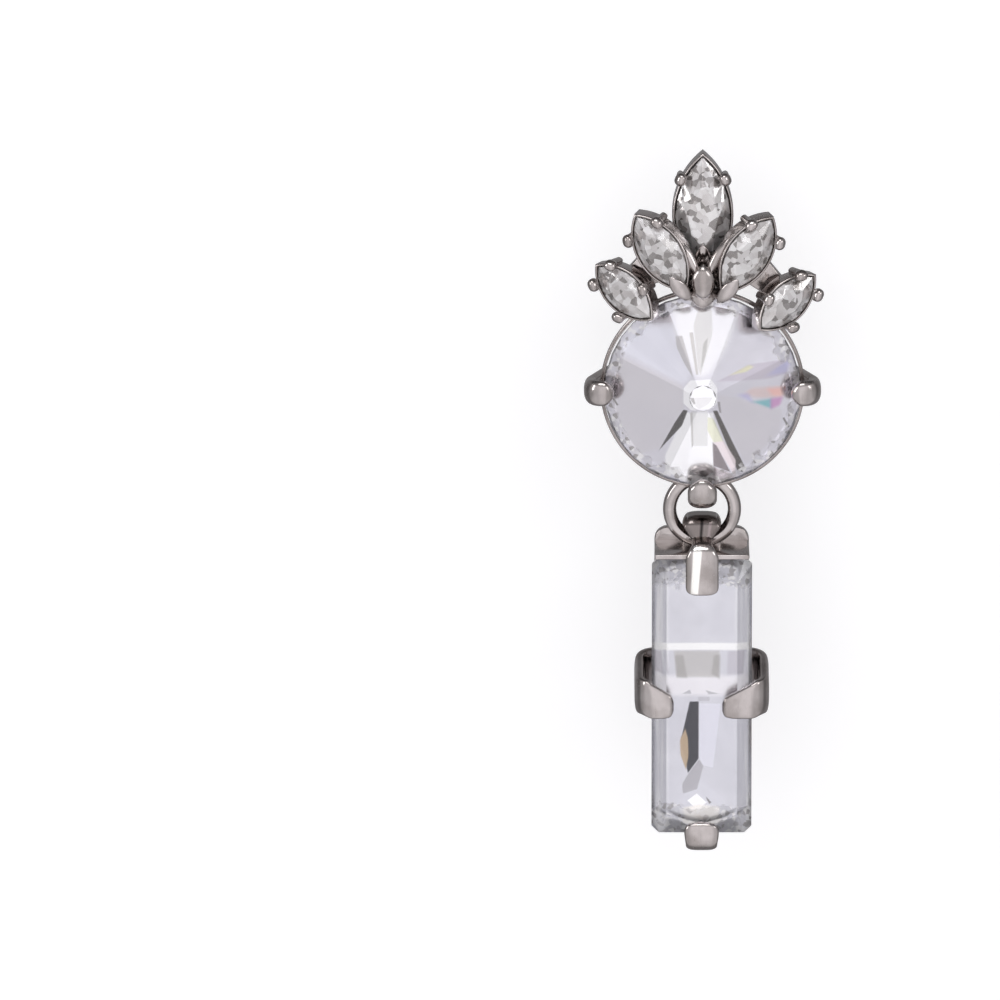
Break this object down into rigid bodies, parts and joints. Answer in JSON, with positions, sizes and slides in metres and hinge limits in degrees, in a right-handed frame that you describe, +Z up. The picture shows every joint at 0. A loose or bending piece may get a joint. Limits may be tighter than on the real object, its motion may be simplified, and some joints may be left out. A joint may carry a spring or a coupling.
{
  "type": "crystal drop earring",
  "caption": "Post earring: claw-set round crystal under a fan of pointed oval crystals, with a long crystal drop on a jump ring.",
  "frame": {"origin": "foot of the ear post on the flat back of the setting, where the ear lobe sits", "axes": "+Z up as worn, +Y along the ear post away from the stones, the stones face -Y"},
  "size_m": [0.0194, 0.0193, 0.0583],
  "materials": {
    "plated_metal": "polished grey plate",
    "crystal": "cut and foiled"
  },
  "bodies": {
    "upper": {"upper_setting": "plated_metal", "ear_post": "plated_metal", "round_stone": "crystal", "crown_stone_top": "crystal", "crown_stone_upper_left": "crystal", "crown_stone_upper_right": "crystal", "crown_stone_lower_left": "crystal", "crown_stone_lower_right": "crystal"},
    "ring": {"jump_ring": "plated_metal"},
    "drop": {"drop_setting": "plated_metal", "drop_stone": "crystal"}
  },
  "joints": [
    {"name": "ring_swing", "type": "hinge", "parent": "upper", "child": "ring", "pos_m": [0, -0.00295, -0.01279], "axis": [1, 0, 0], "range_deg": [-25, 25]},
    {"name": "drop_swing", "type": "hinge", "parent": "ring", "child": "drop", "pos_m": [0, -0.00295, -0.01809], "axis": [1, 0, 0], "range_deg": [-30, 30]}
  ]
}
